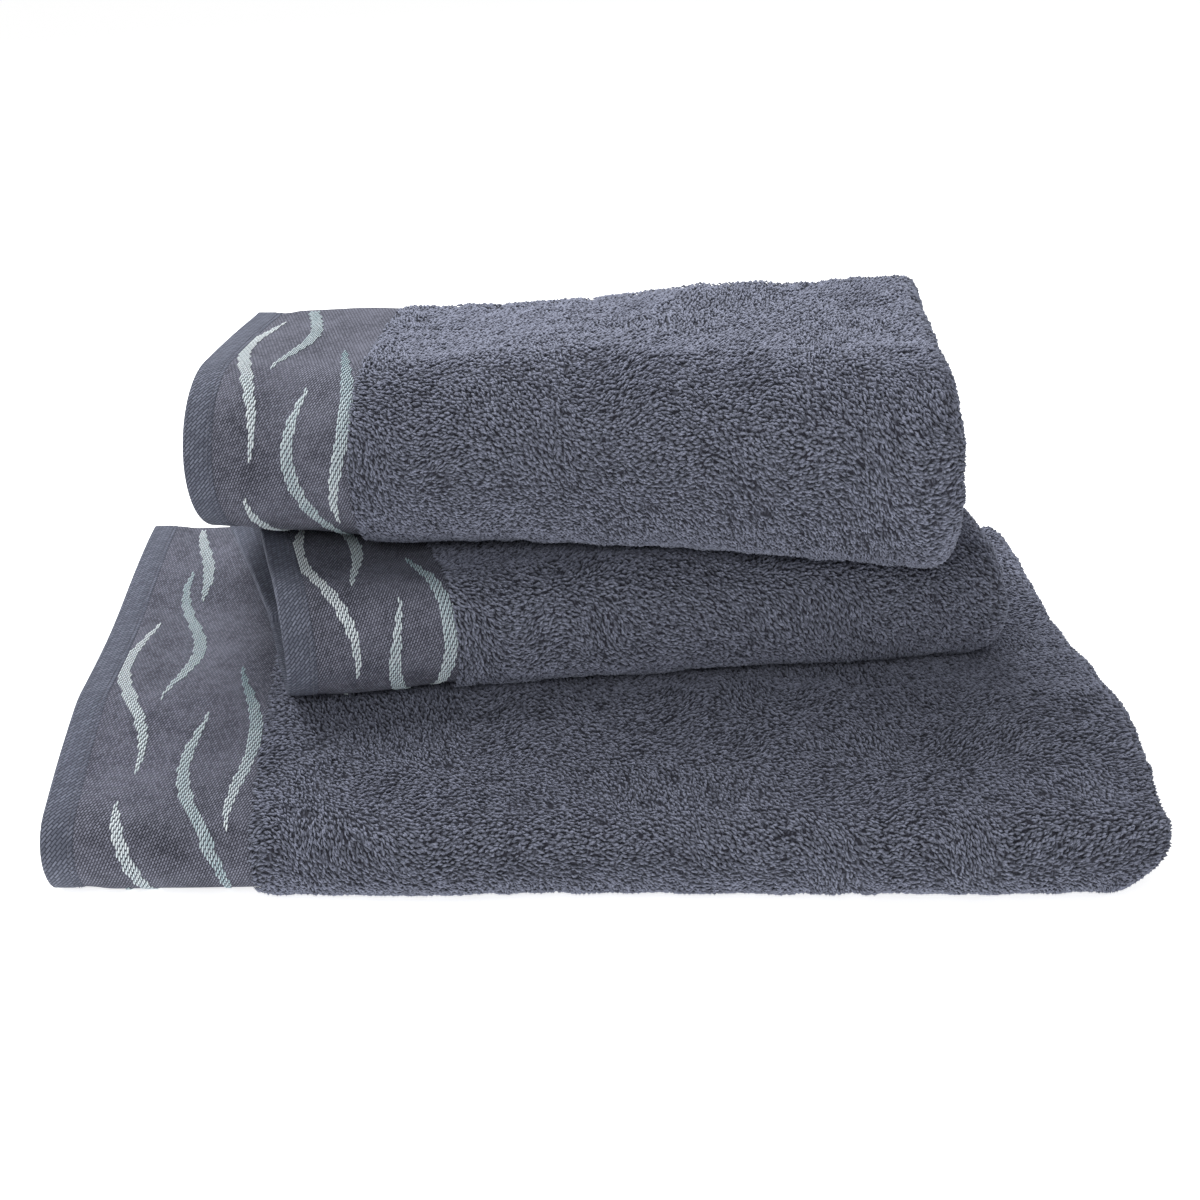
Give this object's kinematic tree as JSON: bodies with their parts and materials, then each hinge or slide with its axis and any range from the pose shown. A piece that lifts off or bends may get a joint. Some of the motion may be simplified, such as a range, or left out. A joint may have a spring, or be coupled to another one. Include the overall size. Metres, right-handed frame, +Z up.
{
  "type": "bath towel set",
  "caption": "Folded terry towels in a stack: a bath towel under hand towels, each with a flat woven border of wavy strokes and a stitched hem.",
  "frame": {"origin": "under the middle of the stack's box, on the surface that it lies on", "axes": "+X runs along the folded bath towel from its hemmed end to its folded end, +Y from the front folds to the back, +Z up"},
  "size_m": [0.4942, 0.2722, 0.2107],
  "materials": {
    "terry_pile": "slate blue-grey cotton terry loops on both faces",
    "woven_border": "flat mauve-grey weave with raised wavy strokes of white and pale teal thread",
    "hem_cloth": "ribbed blue-grey weave, turned in and stitched",
    "selvedge_cloth": "dense narrow woven edge without pile",
    "sewing_thread": "matt spun polyester thread"
  },
  "bodies": {
    "bath_towel": {"bath_towel_border_outer": "woven_border", "bath_towel_border_tucked": "woven_border", "bath_towel_hem_outer": "hem_cloth", "bath_towel_hem_stitching_outer": "sewing_thread", "bath_towel_hem_stitching_tucked": "sewing_thread", "bath_towel_hem_tucked": "hem_cloth", "bath_towel_pile_cloth": "terry_pile", "bath_towel_selvedge_outer": "selvedge_cloth", "bath_towel_selvedge_tucked": "selvedge_cloth"},
    "hand_towel_middle": {"hand_towel_middle_border_outer": "woven_border", "hand_towel_middle_border_tucked": "woven_border", "hand_towel_middle_hem_outer": "hem_cloth", "hand_towel_middle_hem_stitching_outer": "sewing_thread", "hand_towel_middle_hem_stitching_tucked": "sewing_thread", "hand_towel_middle_hem_tucked": "hem_cloth", "hand_towel_middle_pile_cloth": "terry_pile", "hand_towel_middle_selvedge_outer": "selvedge_cloth", "hand_towel_middle_selvedge_tucked": "selvedge_cloth"},
    "hand_towel_top": {"hand_towel_top_border_outer": "woven_border", "hand_towel_top_border_tucked": "woven_border", "hand_towel_top_hem_outer": "hem_cloth", "hand_towel_top_hem_stitching_outer": "sewing_thread", "hand_towel_top_hem_stitching_tucked": "sewing_thread", "hand_towel_top_hem_tucked": "hem_cloth", "hand_towel_top_pile_cloth": "terry_pile", "hand_towel_top_selvedge_outer": "selvedge_cloth", "hand_towel_top_selvedge_tucked": "selvedge_cloth"}
  },
  "joints": [
    {"name": "middle_lift", "type": "slide", "parent": "bath_towel", "child": "hand_towel_middle", "axis": [0, 0, 1], "range_m": [0, 0.07]},
    {"name": "top_lift", "type": "slide", "parent": "hand_towel_middle", "child": "hand_towel_top", "axis": [0, 0, 1], "range_m": [0, 0.07]}
  ]
}
